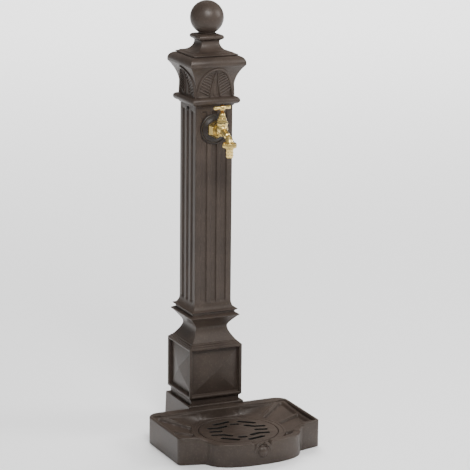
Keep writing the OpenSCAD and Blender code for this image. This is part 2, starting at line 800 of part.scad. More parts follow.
seal_t = 2;
clip_z = shaft_z + shaft_h * 0.45;
elbow_r = inlet_r + 4.5;
pipe_r = pipe_d / 2;
riser_top = tap_h - elbow_r - 6;
riser_foot = supply_h + 22;

// Elbow inside the shaft that takes the tap's thread
module tap_elbow() on_column() color(brass) difference() {
    union() {
        translate([0, 0, tap_h]) rotate([90, 0, 0]) hole(elbow_r, 0, shaft_in - 0.2 - seal_t);
        translate([0, 0, tap_h]) sphere(r = elbow_r);
        hole(pipe_r + 4, riser_top - 10, tap_h);
    }
    translate([0, 0, tap_h]) rotate([90, 0, 0]) {
        hole(inlet_r + fit, shaft_in - 18, shaft_in + 1);
        hole(bore_r, 0, shaft_in);
    }
    hole(pipe_r + fit, riser_top - 11, riser_top);
    hole(bore_r, riser_top - 1, tap_h + 4);
}

module elbow_seal() color(black) along_inlet() difference() {
    hole(elbow_r, shaft_in - seal_t - 0.1, shaft_in - 0.1);
    hole(inlet_r + fit, 0, 80);
}

module riser() on_column() color(copper) difference() {
    hole(pipe_r, riser_foot, riser_top);
    hole(pipe_r - 1.5, riser_foot - 1, riser_top + 1);
}

// A clip on the back wall of the shaft steadies the riser
module riser_clip() on_column() color(steel) translate([0, 0, clip_z]) difference() {
    union() {
        cylinder(r = pipe_r + 2, h = 12);
        translate([-8, 0, 0]) cube([16, shaft_in - 0.1, 12]);
    }
    hole(pipe_r + fit, -1, 13);
    translate([0, 0, 6]) rotate([-90, 0, 0]) hole(m5 + fit, pipe_r + 1, 80);
}

module clip_screw() on_column() color(steel) translate([0, 0, clip_z + 6])
    rotate([-90, 0, 0]) hole(m5, pipe_r + 3, shaft_in - 0.4);

// Elbow in the pedestal, from the supply to the riser
module foot_elbow() on_column() color(brass) difference() {
    union() {
        hole(pipe_r + 4, supply_h, riser_foot + 12);
        translate([0, 0, supply_h]) sphere(r = pipe_r + 4);
        translate([0, 0, supply_h]) rotate([-90, 0, 0]) hole(supply_d / 2 + 4, 0, 26);
    }
    hole(pipe_r + fit, riser_foot, riser_foot + 13);
    hole(bore_r, supply_h, riser_foot + 1);
    translate([0, 0, supply_h]) rotate([-90, 0, 0]) {
        hole(supply_d / 2 + fit, 10, 27);
        hole(bore_r, 0, 12);
    }
}

// Supply pipe stub with its nut and seal in the pedestal's back wall
module supply_thread() on_column() color(brass) translate([0, 0, supply_h]) rotate([-90, 0, 0]) difference() {
    union() {
        hole(supply_d / 2, 10, pedestal_w / 2 + 1);
        hole(supply_d / 2 - groove_d, 10, back_reach);
        hole(supply_d / 2, pedestal_w / 2 + 1 + groove_l, back_reach);
    }
    hole(bore_r, 9, back_reach + 1);
}

module supply_seal() on_column() color(black) translate([0, 0, supply_h]) rotate([-90, 0, 0]) difference() {
    hole(supply_d / 2 + 6, ped_in - seal_t, ped_in);
    hole(supply_d / 2 + fit, 0, 90);
}

module supply_nut() on_column() color(brass) translate([0, 0, supply_h])
    rotate([-90, 0, 0]) translate([0, 0, ped_in - seal_t - 7]) difference() {
        hex(supply_d + 9, 7);
        hole(supply_d / 2 + fit, -1, 9);
    }

// ------------------------------------------------------------------ nodes

basin();
grate();
waste_spigot();
waste_washer();
waste_nut();
plinth();
plinth_bolts();
plinth_washers();
shaft();
shaft_bolts();
shaft_washers();
capital();
capital_screws();
roof();
roof_screws();
ball();
ball_stud();
stud_nut();
stud_washer();
rose();
wall_nut();
tap_body();
bonnet_gasket();
bonnet();
gland_packing();
gland_nut();
spindle();
handle();
handle_screw();
jumper();
jumper_washer();
union_nut();
hose_washer();
hose_tail();
tap_elbow();
elbow_seal();
riser();
riser_clip();
clip_screw();
foot_elbow();
supply_thread();
supply_seal();
supply_nut();
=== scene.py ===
import json
import math

import bmesh
import bpy
import numpy as np
from mathutils import Matrix, Vector


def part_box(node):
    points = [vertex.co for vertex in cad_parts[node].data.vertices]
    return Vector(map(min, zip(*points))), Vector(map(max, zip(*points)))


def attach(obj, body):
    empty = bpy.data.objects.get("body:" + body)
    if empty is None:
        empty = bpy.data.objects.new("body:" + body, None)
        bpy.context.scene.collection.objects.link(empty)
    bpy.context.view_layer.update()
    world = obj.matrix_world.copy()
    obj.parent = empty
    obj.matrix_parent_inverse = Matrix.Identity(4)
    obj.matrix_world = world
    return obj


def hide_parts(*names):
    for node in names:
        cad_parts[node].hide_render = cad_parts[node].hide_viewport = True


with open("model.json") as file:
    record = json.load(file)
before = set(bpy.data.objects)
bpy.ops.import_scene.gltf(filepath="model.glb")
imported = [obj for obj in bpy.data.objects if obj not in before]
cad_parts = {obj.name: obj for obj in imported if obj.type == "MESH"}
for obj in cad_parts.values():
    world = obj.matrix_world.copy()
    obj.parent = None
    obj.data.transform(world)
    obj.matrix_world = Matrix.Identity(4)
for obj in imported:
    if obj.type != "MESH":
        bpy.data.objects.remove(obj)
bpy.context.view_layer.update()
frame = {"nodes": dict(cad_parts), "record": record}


# ---- Viewpoint -----------------------------------------------------------------------------
# Someone stands five metres off, a little to the left of the tap, and looks slightly down at
# the column through a long lens.

shaft_low, shaft_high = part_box("shaft")
axis_y = (shaft_low.y + shaft_high.y) / 2

stand_off = 5.078
eye_height = 1.667
bearing = math.radians(24.03)
swing = math.radians(0.77)
dip = math.radians(13.41)
tilt = math.radians(0.57)

eye = Vector((-math.sin(bearing) * stand_off, axis_y - math.cos(bearing) * stand_off, eye_height))
ahead = Vector((
    math.sin(bearing + swing) * math.cos(dip),
    math.cos(bearing + swing) * math.cos(dip),
    -math.sin(dip),
))
level = Vector((math.cos(bearing + swing), -math.sin(bearing + swing), 0))
upright = level.cross(ahead)
side = level * math.cos(tilt) + upright * math.sin(tilt)
top = upright * math.cos(tilt) - level * math.sin(tilt)


def added(name, data):
    """A new object in the scene."""
    made = bpy.data.objects.new(name, data)
    bpy.context.scene.collection.objects.link(made)
    return made


camera_data = bpy.data.cameras.new("camera")
camera_data.sensor_width = 36
camera_data.lens = 173.2
camera_data.clip_end = 30
camera = added("camera", camera_data)
facing = Matrix((side, top, -ahead)).transposed().to_4x4()
camera.matrix_world = Matrix.Translation(eye) @ facing
bpy.context.scene.camera = camera


# ---- Basin ---------------------------------------------------------------------------------
# The basin is one sand casting with a bow front: a dished floor of sunk panels between ribs, a
# round seat for the grate, and the hollow pedestal behind that carries the column.
# It is painted a satin bronze brown.

MM = 0.001


def linear(code):
    """An sRGB hex colour as linear red, green, blue and alpha."""
    channels = [int(code[i:i + 2], 16) / 255 for i in (1, 3, 5)]
    return [c / 12.92 if c <= 0.04045 else ((c + 0.055) / 1.055) ** 2.4 for c in channels] + [1]


def put(tree, kind, inputs=None, **settings):
    """Adds a node with its settings; an input takes a value or another node's socket."""
    made = tree.nodes.new(kind)
    for key, value in settings.items():
        setattr(made, key, value)
    for key, value in (inputs or {}).items():
        if isinstance(value, bpy.types.NodeSocket):
            tree.links.new(value, made.inputs[key])
        else:
            made.inputs[key].default_value = value
    return made


def new_material(name):
    """An empty node material with its shader, output and object coordinates."""
    material = bpy.data.materials.new(name)
    material.use_nodes = True
    tree = material.node_tree
    tree.nodes.clear()
    shader = put(tree, "ShaderNodeBsdfPrincipled")
    put(tree, "ShaderNodeOutputMaterial", {"Surface": shader.outputs["BSDF"]})
    place = put(tree, "ShaderNodeTexCoord").outputs["Object"]
    return material, tree, shader, place


def noise(tree, place, scale, detail=2, roughness=0.5):
    """A noise texture's output."""
    return put(tree, "ShaderNodeTexNoise", {
        "Vector": place, "Scale": scale, "Detail": detail, "Roughness": roughness}).outputs["Fac"]


def finish_with(tree, shader, colour, roughness, normal):
    """Links a shader's colour, roughness and normal."""
    tree.links.new(colour, shader.inputs["Base Color"])
    tree.links.new(roughness, shader.inputs["Roughness"])
    tree.links.new(normal, shader.inputs["Normal"])


def cast_paint(name, main, shade, worn, roughness=0.42, grain=0.22):
    """Satin paint on a sand casting: a soft mottle, a grain a millimetre across under the paint,
    and a paler bloom where hands and weather have rubbed it."""
    material, tree, shader, place = new_material(name)
    mottle = noise(tree, place, 14, 5, 0.6)
    patches = put(tree, "ShaderNodeMapRange", {
        "Value": mottle, "From Min": 0.36, "From Max": 0.66})
    tone = put(tree, "ShaderNodeMix", {
        "Factor": patches.outputs["Result"], "A": linear(shade), "B": linear(main)}, data_type="RGBA")
    speck = noise(tree, place, 260, 3, 0.7)
    rubbed = put(tree, "ShaderNodeMapRange", {
        "Value": speck, "From Min": 0.54, "From Max": 0.78, "To Max": 0.5})
    colour = put(tree, "ShaderNodeMix", {
        "Factor": rubbed.outputs["Result"], "A": tone.outputs[2], "B": linear(worn)}, data_type="RGBA")
    gloss = put(tree, "ShaderNodeMapRange", {
        "Value": mottle, "To Min": roughness - 0.07, "To Max": roughness + 0.1})
    sand = noise(tree, place, 620)
    swell = noise(tree, place, 55)
    height = put(tree, "ShaderNodeMath", {
        0: swell, 1: 1.6, 2: sand}, operation="MULTIPLY_ADD")
    bump = put(tree, "ShaderNodeBump", {
        "Strength": grain, "Distance": 0.0006, "Height": height.outputs["Value"]})
    finish_with(tree, shader, colour.outputs[2], gloss.outputs["Result"], bump.outputs["Normal"])
    shader.inputs["Metallic"].default_value = 0.1
    shader.inputs["Specular IOR Level"].default_value = 0.34
    return material


bronze_paint = cast_paint("satin bronze paint on cast metal", "#433932", "#382F29", "#5E534A")


def piece(name, points, faces, finish, crease=32):
    """A mesh object for one piece. Points are in millimetres about the column's axis."""
    mesh = bpy.data.meshes.new(name)
    mesh.from_pydata([(x * MM, y * MM + axis_y, z * MM) for x, y, z in points], [], faces)
    mesh.materials.append(finish)
    made = added(name, mesh)
    round_off(mesh, crease)
    return made


def round_off(mesh, crease):
    """Smooth shading, broken at edges sharper than crease degrees; faces turned outwards."""
    work = bmesh.new()
    work.from_mesh(mesh)
    bmesh.ops.remove_doubles(work, verts=work.verts, dist=1e-6)
    bmesh.ops.recalc_face_normals(work, faces=work.faces)
    work.to_mesh(mesh)
    work.free()
    mesh.shade_smooth()
    mesh.set_sharp_from_angle(angle=math.radians(crease))


def loft(rings, closed=False, caps=True):
    """Points and faces of a skin over rings of equal length, each an array of points."""
    count = len(rings[0])
    points = [tuple(p) for ring in rings for p in ring]
    faces = []
    last = len(rings) if closed else len(rings) - 1
    for i in range(last):
        a, b = i * count, (i + 1) % len(rings) * count
        faces += [(a + j, a + (j + 1) % count, b + (j + 1) % count, b + j) for j in range(count)]
    if caps and not closed:
        faces += [tuple(range(count))[::-1], tuple(range((len(rings) - 1) * count, len(rings) * count))]
    return points, faces


def joined(*skins):
    """Several skins' points and faces as one."""
    points, faces = [], []
    for some_points, some_faces in skins:
        faces += [tuple(i + len(points) for i in face) for face in some_faces]
        points += list(some_points)
    return points, faces


def ease(x):
    """A smooth step from 0 to 1."""
    x = np.clip(x, 0, 1)
    return x * x * (3 - 2 * x)


def arc(x, y, radius, start, end, count):
    """Points on an arc, angles in degrees."""
    return [(x + radius * math.cos(math.radians(a)), y + radius * math.sin(math.radians(a)))
            for a in np.linspace(start, end, count)]


basin_low, basin_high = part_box("basin")
grate_low, grate_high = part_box("grate")
half_w = basin_high.x / MM
bow_front = (axis_y - basin_low.y) / MM
grate_y = ((grate_low.y + grate_high.y) / 2 - axis_y) / MM
grate_r = (grate_high.x - grate_low.x) / 2 / MM
grate_top = grate_high.z / MM
rim_h = 63.5
bow_rim = 53.0
shoulder = 258.0
rear = 61.0
bow_half = 114.0
bow_power = 2.3
ball_proud = 7.0
wall_front = bow_front - ball_proud
cast_t = 6.0
slope = 0.21
rib_half = 3.0
panel_depth = 5.5
bead = 1.5
ring_r = grate_r + 13
around = 720


def basin_outline():
    """The basin's plan, anticlockwise from the front of the bow, as evenly spaced points."""
    base = shoulder + 10
    t = np.radians(np.arange(0, 76, 2.5))
    half = list(zip(bow_half * np.sin(t) ** (2 / bow_power),
                    -base - (wall_front - base) * np.cos(t) ** (2 / bow_power)))
    half += arc(bow_half + 17, -base - 18.5, 19, 170, 95, 12)
    half += arc(half_w - 12, 12 - shoulder, 12, -70, 0, 9)
    half += arc(half_w - 30, -rear - 30, 30, 0, 90, 14)
    whole = np.array(half + [(-x, y) for x, y in half[:0:-1]])
    closed = np.vstack([whole, whole[:1]])
    run = np.concatenate([[0], np.cumsum(np.linalg.norm(np.diff(closed, axis=0), axis=1))])
    at = np.linspace(0, run[-1], around, endpoint=False)
    return np.stack([np.interp(at, run, closed[:, 0]), np.interp(at, run, closed[:, 1])], 1)


plan = basin_outline()
tangent = np.roll(plan, -1, 0) - np.roll(plan, 1, 0)
outward = np.stack([tangent[:, 1], -tangent[:, 0]], 1) / np.linalg.norm(tangent, axis=1)[:, None]


def inset(amount):
    """The plan drawn inwards by an amount at each point."""
    return plan - outward * np.asarray(amount).reshape(-1, 1)


def rim_height(xy):
    """The rim is level round the sides and drops to the bow, with a spill notch in the middle."""
    across = np.abs(xy[:, 0])
    forward = ease((-xy[:, 1] - shoulder + 6) / 12)
    bow = ease((136 - across) / 30) * forward
    notch = ease((26 - across) / 14) * forward
    return rim_h - (rim_h - bow_rim) * bow - 11 * notch


rib_angles = np.array([-152, -118, -62, -28, 9, 35, 62, 118, 145, 171])
bow_weight = ease((-plan[:, 1] - shoulder + 4) / 22)
rear_weight = ease((outward[:, 1] - 0.2) / 0.7)
rim_t = 8 + 9 * bow_weight + 19 * rear_weight
inner = inset(rim_t)
for _ in range(40):
    inner = (np.roll(inner, 1, 0) + 2 * inner + np.roll(inner, -1, 0)) / 4
spokes = inner - [0, grate_y]
bearing_of = np.arctan2(spokes[:, 1], spokes[:, 0])
spoke = np.stack([np.cos(bearing_of), np.sin(bearing_of)], 1)


def ring_at(radius, z):
    """A level ring about the grate's centre, with a point on each spoke."""
    xy = spoke * radius + [0, grate_y]
    return np.column_stack([xy, np.full(around, float(z))])


def floor_height(xy, share):
    """The dished floor at a share of the way out to the rim, with panels sunk between ribs."""
    off = xy - [0, grate_y]
    radius = np.linalg.norm(off, axis=1)
    angle = np.degrees(np.arctan2(off[:, 1], off[:, 0]))
    gap = np.abs((angle[:, None] - rib_angles[None, :] + 180) % 360 - 180).min(1)
    from_rib = np.radians(gap) * radius
    inside = ease((from_rib - rib_half) / 3.2) * ease((radius - ring_r - 4) / 3)
    inside = inside * ease((1 - share) * 12 - 0.7)
    ring = np.exp(-((radius - ring_r + 2) / 2.5) ** 2)
    level = grate_top + slope * (radius - ring_r)
    rise = (rim_h - 3 - level) * rear_weight * share ** 2.2
    return level + rise + bead * ring - panel_depth * inside * (1 - 0.5 * rear_weight)


def lifted(xy, z):
    """A ring of places in plan, at one height or a height each."""
    return np.column_stack([xy, np.broadcast_to(z, around)])


waste_r = 16.2
sump_r = grate_r - 6
seat_r = grate_r + 1.5
seat_z = 34.7
sump_z = 20.0
under_z = 14.0
rings = [
    ring_at(waste_r, under_z), ring_at(waste_r, sump_z), ring_at(sump_r - 1, sump_z),
    ring_at(sump_r, sump_z + 1), ring_at(sump_r, seat_z - 0.5), ring_at(sump_r + 0.5, seat_z),
    ring_at(seat_r, seat_z), ring_at(seat_r, grate_top - 0.8), ring_at(seat_r + 0.8, grate_top),
    ring_at(ring_r - 1, grate_top)]
hub = spoke * ring_r + [0, grate_y]
for share in np.linspace(0, 1, 64):
    xy = hub + (inner - hub) * share
    rings.append(lifted(xy, floor_height(xy, share)))
rim_z = rim_height(plan)
edge_r = 3.4
for turn in np.radians(np.linspace(0, 90, 6)):
    inwards = edge_r * (1 - math.cos(turn))
    rings.append(lifted(inset(rim_t - inwards), rim_z - edge_r * (1 - math.sin(turn))))
for turn in np.radians(np.linspace(90, 0, 7)):
    inwards = edge_r * (1 - math.cos(turn))
    rings.append(lifted(inset(inwards), rim_z - edge_r * (1 - math.sin(turn))))
for inwards, z in ((0, 2.0), (0.5, 0.6), (1.6, 0.0)):
    rings.append(lifted(inset(inwards), z))
rings.append(lifted(inset(cast_t), 0))
rings.append(lifted(inset(np.maximum(cast_t, rim_t - 3)), np.minimum(rim_z - 16, 40)))
rings.append(ring_at(seat_r + cast_t, 30))
rings.append(ring_at(seat_r + cast_t, under_z))
bowl = loft(rings, closed=True)


def square_ring(half, z):
    """A level square about the column's axis."""
    return [(-half, -half, z), (half, -half, z), (half, half, z), (-half, half, z)]


pedestal_top = basin_high.z / MM
pedestal_half = (basin_high.y - axis_y) / MM
pipe_way = 18.0
pedestal_in = pedestal_half - 8
pedestal = loft([
    square_ring(pedestal_in, 0), square_ring(pedestal_in, pedestal_top - 8),
    square_ring(pipe_way, pedestal_top - 8), square_ring(pipe_way, pedestal_top),
    square_ring(pedestal_half - 2, pedestal_top), square_ring(pedestal_half, 0),
], closed=True)


def bevelled(made, width, angle=30):
    """Rounds a piece's sharp edges and leaves a plain mesh."""
    modifier = made.modifiers.new("rounding", "BEVEL")
    modifier.width = width * MM
    modifier.segments = 2
    modifier.limit_method = "ANGLE"
    modifier.angle_limit = math.radians(angle)
    return settled(made)


def settled(made):
    """Applies a piece's modifiers."""
    graph = bpy.context.evaluated_depsgraph_get()
    plain = bpy.data.meshes.new_from_object(made.evaluated_get(graph))
    made.modifiers.clear()
    made.data = plain
    return made


def ball_skin(centre, radius, across=24, up=14):
    """A round ball."""
    x, y, z = centre
    rings = []
    for a in np.linspace(-89, 89, up):
        r, h = radius * math.cos(math.radians(a)), radius * math.sin(math.radians(a))
        rings.append([(x + r * math.cos(t), y + r * math.sin(t), z + h)
                      for t in np.linspace(0, 2 * math.pi, across, endpoint=False)])
    return loft(rings)


def tube_skin(path, radii, across=14):
    """A round bar along a path, with its own radius at each point."""
    path = np.array(path, float)
    ahead_of = np.gradient(path, axis=0)
    rings = []
    for p, d, r in zip(path, ahead_of, radii):
        d = d / np.linalg.norm(d)
        hint = np.array([0, 1, 0]) if abs(d[1]) < 0.9 else np.array([1, 0, 0])
        u = np.cross(d, hint)
        u /= np.linalg.norm(u)
        v = np.cross(d, u)
        rings.append([p + r * (math.cos(t) * u + math.sin(t) * v)
                      for t in np.linspace(0, 2 * math.pi, across, endpoint=False)])
    return loft(rings)


boss_r = 14.0
boss_z = 31.0
scroll_r = 20.0
boss = ball_skin((0, boss_r - bow_front, boss_z), boss_r, 40, 24)
horns = []
for s in (-1, 1):
    turns = np.radians(np.linspace(-6, 80, 20))
    curl = [(s * scroll_r * math.cos(t), 2.5 - wall_front, boss_z + scroll_r * math.sin(t))
            for t in turns]
    thick = [1.6 + 2.6 * math.sin(math.pi * (i + 1) / 22) for i in range(20)]
    horns.append(tube_skin(curl, thick))
basin = piece("basin_casting", *joined(bowl, boss, *horns), bronze_paint)
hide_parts("basin")
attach(basin, "root")
base_block = bevelled(piece("pedestal", *pedestal, bronze_paint), 1.6)
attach(base_block, "root")


# ---- Grate ---------------------------------------------------------------------------------
# A loose cast disc with bent rows of slots around a plain middle. It drops into the basin's
# seat and lifts straight out. The walls of its slots are coated near-black: painted shade for the dark of
# the open slots.

slot_w = 12.0
grate_turn = -13.0
slot_rows = [
    [(63, 0), (42, 0)],
    [(63, 24), (42, 24), (24, 34)],
    [(46, 49), (14, 64)],
    [(6, 46), (-6, 46)],
]


def slot_outline(path):
    """A slot with round ends along a straight or bent path."""
    path = np.array(path, float)
    runs = np.diff(path, axis=0)
    runs /= np.linalg.norm(runs, axis=1)[:, None]
    left = []
    for i in range(len(path)):
        before, after = runs[max(i - 1, 0)], runs[min(i, len(runs) - 1)]
        across = np.array([-before[1] - after[1], before[0] + after[0]])
        left.append(across / (1 + before @ after) * slot_w / 2)
    first = math.degrees(math.atan2(*(-left[0])[::-1]))
    final = math.degrees(math.atan2(*left[-1][::-1]))
    return ([tuple(p + o) for p, o in zip(path[1:-1], left[1:-1])]
            + arc(*path[-1], slot_w / 2, final, final - 180, 10)
            + [tuple(p - o) for p, o in zip(path[-2:0:-1], left[-2:0:-1])]
            + arc(*path[0], slot_w / 2, first, first - 180, 10))


def flat_casting(name, outlines, thickness, bevel, finish):
    """A plate cut from outlines, the outer one first, with its edges rounded."""
    curve = bpy.data.curves.new(name, "CURVE")
    curve.dimensions = "2D"
    curve.fill_mode = "BOTH"
    curve.extrude = thickness / 2 * MM - bevel * MM
    curve.bevel_depth = bevel * MM
    curve.bevel_resolution = 2
    for outline in outlines:
        spline = curve.splines.new("POLY")
        spline.points.add(len(outline) - 1)
        for point, (x, y) in zip(spline.points, outline):
            point.co = (x * MM, y * MM, 0, 1)
        spline.use_cyclic_u = True
    cut = added(name, curve)
    graph = bpy.context.evaluated_depsgraph_get()
    mesh = bpy.data.meshes.new_from_object(cut.evaluated_get(graph))
    bpy.data.objects.remove(cut)
    mesh.materials.clear()
    mesh.materials.append(finish)
    made = added(name, mesh)
    round_off(mesh, 40)
    return made


def plain_coat(name, colour, roughness):
    """An even coat of one colour."""
    material, _, shader, _ = new_material(name)
    shader.inputs["Base Color"].default_value = linear(colour)
    shader.inputs["Roughness"].default_value = roughness
    return material


outlines = [arc(0, 0, grate_r - 0.6, 0, 357, 120)]
for row in slot_rows:
    for sx in (-1, 1):
        for sy in (-1, 1):
            own_mirror = (row[0][1] == 0 and sy < 0) or (row[-1][0] < 0 and sx < 0)
            if not own_mirror:
                outlines.append(slot_outline([(sx * x, sy * y) for x, y in row]))
plate_t = 6.0
grate_plate = flat_casting("grate_plate", outlines, plate_t, 0.6, bronze_paint)
plate_middle = Vector((0, axis_y + grate_y * MM, grate_high.z - plate_t / 2 * MM))
grate_plate.data.transform(
    Matrix.Translation(plate_middle) @ Matrix.Rotation(math.radians(grate_turn), 4, "Z"))
# The slot walls inside the rim take a near-black coat: painted shade, standing in for the dark of the open
# slots.
grate_plate.data.materials.append(plain_coat("painted slot shade", "#0B0907", 0.6))
for face in grate_plate.data.polygons:
    from_middle = (face.center - plate_middle).xy.length
    if abs(face.normal.z) < 0.4 and from_middle < (grate_r - 5) * MM:
        face.material_index = 1
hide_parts("grate")
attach(grate_plate, "grate")


# ---- Plinth --------------------------------------------------------------------------------
# A hollow square casting bolted on the pedestal: a die block with a diamond point sunk in each
# face, then fine steps, a hollow throat and the lip that carries the shaft.

plinth_low, plinth_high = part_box("plinth")
die_half = 66.0
die_z = plinth_low.z / MM + 15
neck_z = die_z + 121
shaft_z = plinth_high.z / MM
foot_half = 52.5


def flared(waist, end, soft, steps):
    """A profile from a waist to its end: upright at the waist, nearly straight at the end."""
    (r0, z0), (r1, z1) = waist, end
    away = np.linspace(0, z1 - z0, steps)
    out = np.hypot(away, soft) - soft
    return [(r0 + (r1 - r0) * float(o / out[-1]), z0 + float(a)) for a, o in zip(away, out)]


steps_below = [
    (60.5, plinth_low.z / MM), (60.5, die_z - 4), (62, die_z - 2.2), (63.6, die_z - 1.0),
    (die_half - 1.6, die_z)]
steps_above = [
    (die_half - 1.6, neck_z), (64.5, neck_z + 1.0), (61.5, neck_z + 2.2), (61.2, neck_z + 4.2),
    (59, neck_z + 5.2), (57, neck_z + 6), (56.8, neck_z + 8)]
waist = (39, neck_z + 40)
throat = flared(waist, (55, neck_z + 8.8), 16, 18)[::-1]
throat += flared(waist, (58, shaft_z - 8), 8, 26)[1:]
lip = [
    (59.6, shaft_z - 7.6), (61, shaft_z - 6), (60.6, shaft_z - 4.4), (58, shaft_z - 3),
    (54.5, shaft_z - 1.2), (foot_half, shaft_z)]
panel_rims = [
    (0, -1.6), (1.0, -0.5), (3.4, 0), (5.8, -0.5), (6.8, -1.8), (7.4, -5.5), (8.8, -8.8)]
point_half = 2.0
point_proud = 0.6


def die_faces():
    """Four framed panels, each a shallow recess filled by a diamond point."""
    points, faces = [], []
    half_h = (neck_z - die_z) / 2
    middle = (neck_z + die_z) / 2
    rims = [(die_half - step, half_h - step, out) for step, out in panel_rims]
    point_h = half_h - (die_half - point_half) * (half_h - 1.0) / (die_half - 1.0)
    rims.append((point_half, point_h, point_proud))
    for turn in range(4):
        c, s = round(math.cos(turn * math.pi / 2)), round(math.sin(turn * math.pi / 2))
        base = len(points)
        for x, z, out in rims:
            for px, pz in ((-x, -z), (x, -z), (x, z), (-x, z)):
                y = -die_half - out
                points.append((c * px - s * y, s * px + c * y, middle + pz))
        for i in range(len(rims) - 1):
            a, b = base + i * 4, base + (i + 1) * 4
            faces += [(a + j, a + (j + 1) % 4, b + (j + 1) % 4, b + j) for j in range(4)]
        tip = base + (len(rims) - 1) * 4
        faces.append((tip, tip + 1, tip + 2, tip + 3))
    return points, faces


lower = loft([square_ring(h, z) for h, z in steps_below], caps=False)
upper = loft([square_ring(h, z) for h, z in steps_above + throat + lip], caps=False)
plinth_points, plinth_faces = joined(lower, die_faces(), upper)
plinth_faces.append((3, 2, 1, 0))
last = len(plinth_points)
plinth_faces.append((last - 4, last - 3, last - 2, last - 1))
plinth = piece("plinth_casting", plinth_points, plinth_faces, bronze_paint)
plinth = bevelled(plinth, 0.7, 24)
round_off(plinth.data, 11)
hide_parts("plinth")
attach(plinth, "root")


# ---- Shaft ---------------------------------------------------------------------------------
# A hollow square casting with three flat-bottomed flutes in each face, which run out on the
# flared foot. Four screws hold its foot on the plinth.

shaft_half = 45.5
capital_z = shaft_high.z / MM
flute_w = 15.0
flute_d = 3.0
flute_pitch = 24.2
corner_r = 2.2
flute_wall = 1.9
flute_foot = shaft_z + 24
flute_head = capital_z - 8


def quarter(start, end, steps):
    """A quarter curve of a profile, level at its start and upright at its end."""
    (r0, z0), (r1, z1) = start, end
    return [(r0 + (r1 - r0) * math.sin(a), z0 + (z1 - z0) * (1 - math.cos(a)))
            for a in np.linspace(0, math.pi / 2, steps)]


def side_stations():
    """Places across one face: close together in the flutes, few on the flats."""
    stations = {-shaft_half + corner_r, shaft_half - corner_r}
    for flute in (-1, 0, 1):
        for i in range(-12, 13):
            stations.add(round(flute * flute_pitch + i * flute_w / 24, 4))
    return sorted(stations)


def flute_depth(z):
    """The flutes' depth at a height; they run out at both ends."""
    return flute_d * float(min(ease((z - flute_foot) / 8), ease((flute_head - z) / 6)))


def fluted_ring(half, z):
    """One level of the shaft, with rounded corners and the flutes sunk in its faces."""
    ring = []
    flat_end = shaft_half - corner_r
    for turn in range(4):
        c, s = round(math.cos(turn * math.pi / 2)), round(math.sin(turn * math.pi / 2))
        for x in side_stations():
            near = min(abs(x - flute * flute_pitch) for flute in (-1, 0, 1))
            y = flute_depth(z) * float(ease((flute_w / 2 - near) / flute_wall)) - half
            across = x * (half - corner_r) / flat_end if abs(x) == flat_end else x
            ring.append((c * across - s * y, s * across + c * y, z))
        for t in np.radians([22.5, 45, 67.5]):
            x = half - corner_r + corner_r * math.sin(t)
            y = corner_r - half - corner_r * math.cos(t)
            ring.append((c * x - s * y, s * x + c * y, z))
    return ring


levels = [(foot_half, shaft_z), (foot_half, shaft_z + 4), (55.5, shaft_z + 5.6), (57.6, shaft_z + 7)]
levels += [(58, shaft_z + 8)] + quarter((57.4, shaft_z + 8.8), (shaft_half, shaft_z + 29), 14)
for heights in (np.arange(shaft_z + 30, shaft_z + 36, 1), np.linspace(shaft_z + 38, capital_z - 16, 18),
                np.arange(capital_z - 14, capital_z - 7, 1), [capital_z]):
    levels += [(shaft_half, float(z)) for z in heights]
shaft = piece("shaft_casting", *loft([fluted_ring(half, z) for half, z in levels]), bronze_paint, crease=45)
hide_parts("shaft")
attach(shaft, "root")


# ---- Capital -------------------------------------------------------------------------------
# A hollow casting that slips over the shaft: a half-round ring, a bell with an arch and a fan of
# leaves on each face, and a heavy cornice. A screw in each side face holds it.

capital_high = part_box("capital")[1]
cornice_top = capital_high.z / MM
ring_half = 58.5
cornice_half = 68.5
bell_half = 46.8
throat_z = capital_z + 23
straight = 10.0
bell_foot = throat_z + straight
cornice_z = cornice_top - 23.3
bell_rise = cornice_z - bell_foot
bell_reach = 19.7
bell_power = 2.46


def bell_at(z):
    """The bell's half width at a height."""
    return bell_half + bell_reach * (max(z - bell_foot, 0) / bell_rise) ** bell_power


def column_skin(profile):
    """A solid square moulding from half widths and heights."""
    return loft([square_ring(h, z) for h, z in profile])


capital_profile = [(46, capital_z), (47.5, capital_z + 2), (49, capital_z + 4.2)]
capital_profile += arc(ring_half - 8, capital_z + 13, 8, -78, 82, 14)
capital_profile += [
    (bell_half + 2.2, capital_z + 21.6), (bell_half + 0.8, throat_z - 0.4), (bell_half, throat_z + 2)]
capital_profile += [(bell_at(z), z) for z in np.linspace(bell_foot, cornice_z, 22)]
capital_profile += [(cornice_half - 1.0, cornice_z + 0.9), (cornice_half - 0.2, cornice_z + 2.4)]
capital_profile += arc(cornice_half - 16, cornice_top - 17, 16, 0, 82, 18)
bell = column_skin(capital_profile)
capital = bevelled(piece("capital_casting", *bell, bronze_paint), 0.9, 40)
round_off(capital.data, 40)
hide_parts("capital")
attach(capital, "root")


# ---- Leaves on the capital -----------------------------------------------------------------
# The arch, the centre leaf and the fan of ribs are cast with the bell. One rib is fanned out,
# bent to the bell's curve and repeated on the four faces.

arch_w = bell_half - 0.6
arch_h = cornice_z - throat_z - 2.0
leg_foot = 12.0
leg_top = arch_h - 6.0
barb_count = 8
barb_lean = math.radians(28)


def barb_skin():
    """One barb of a leaf, a unit long, upright, with a rounded back."""
    rings = []
    for along, half in ((0.0, 0.9), (0.15, 1.6), (0.5, 1.9), (0.85, 2.0), (1.0, 1.8)):
        rings.append([(half * math.cos(t), 1.0 - (3.3 if half > 1 else 2.2) * math.sin(t), along)
                      for t in np.linspace(0, math.pi, 7)])
    return loft(rings)


def arch_point(share, inward=0.0):
    """A point on the arch, which is a little more pointed than half an ellipse."""
    a = math.pi * share
    c, s = math.cos(a), math.sin(a)
    return np.array([(arch_w - inward) * abs(c) ** 1.33 * (1 if c > 0 else -1), (arch_h - inward) * s])


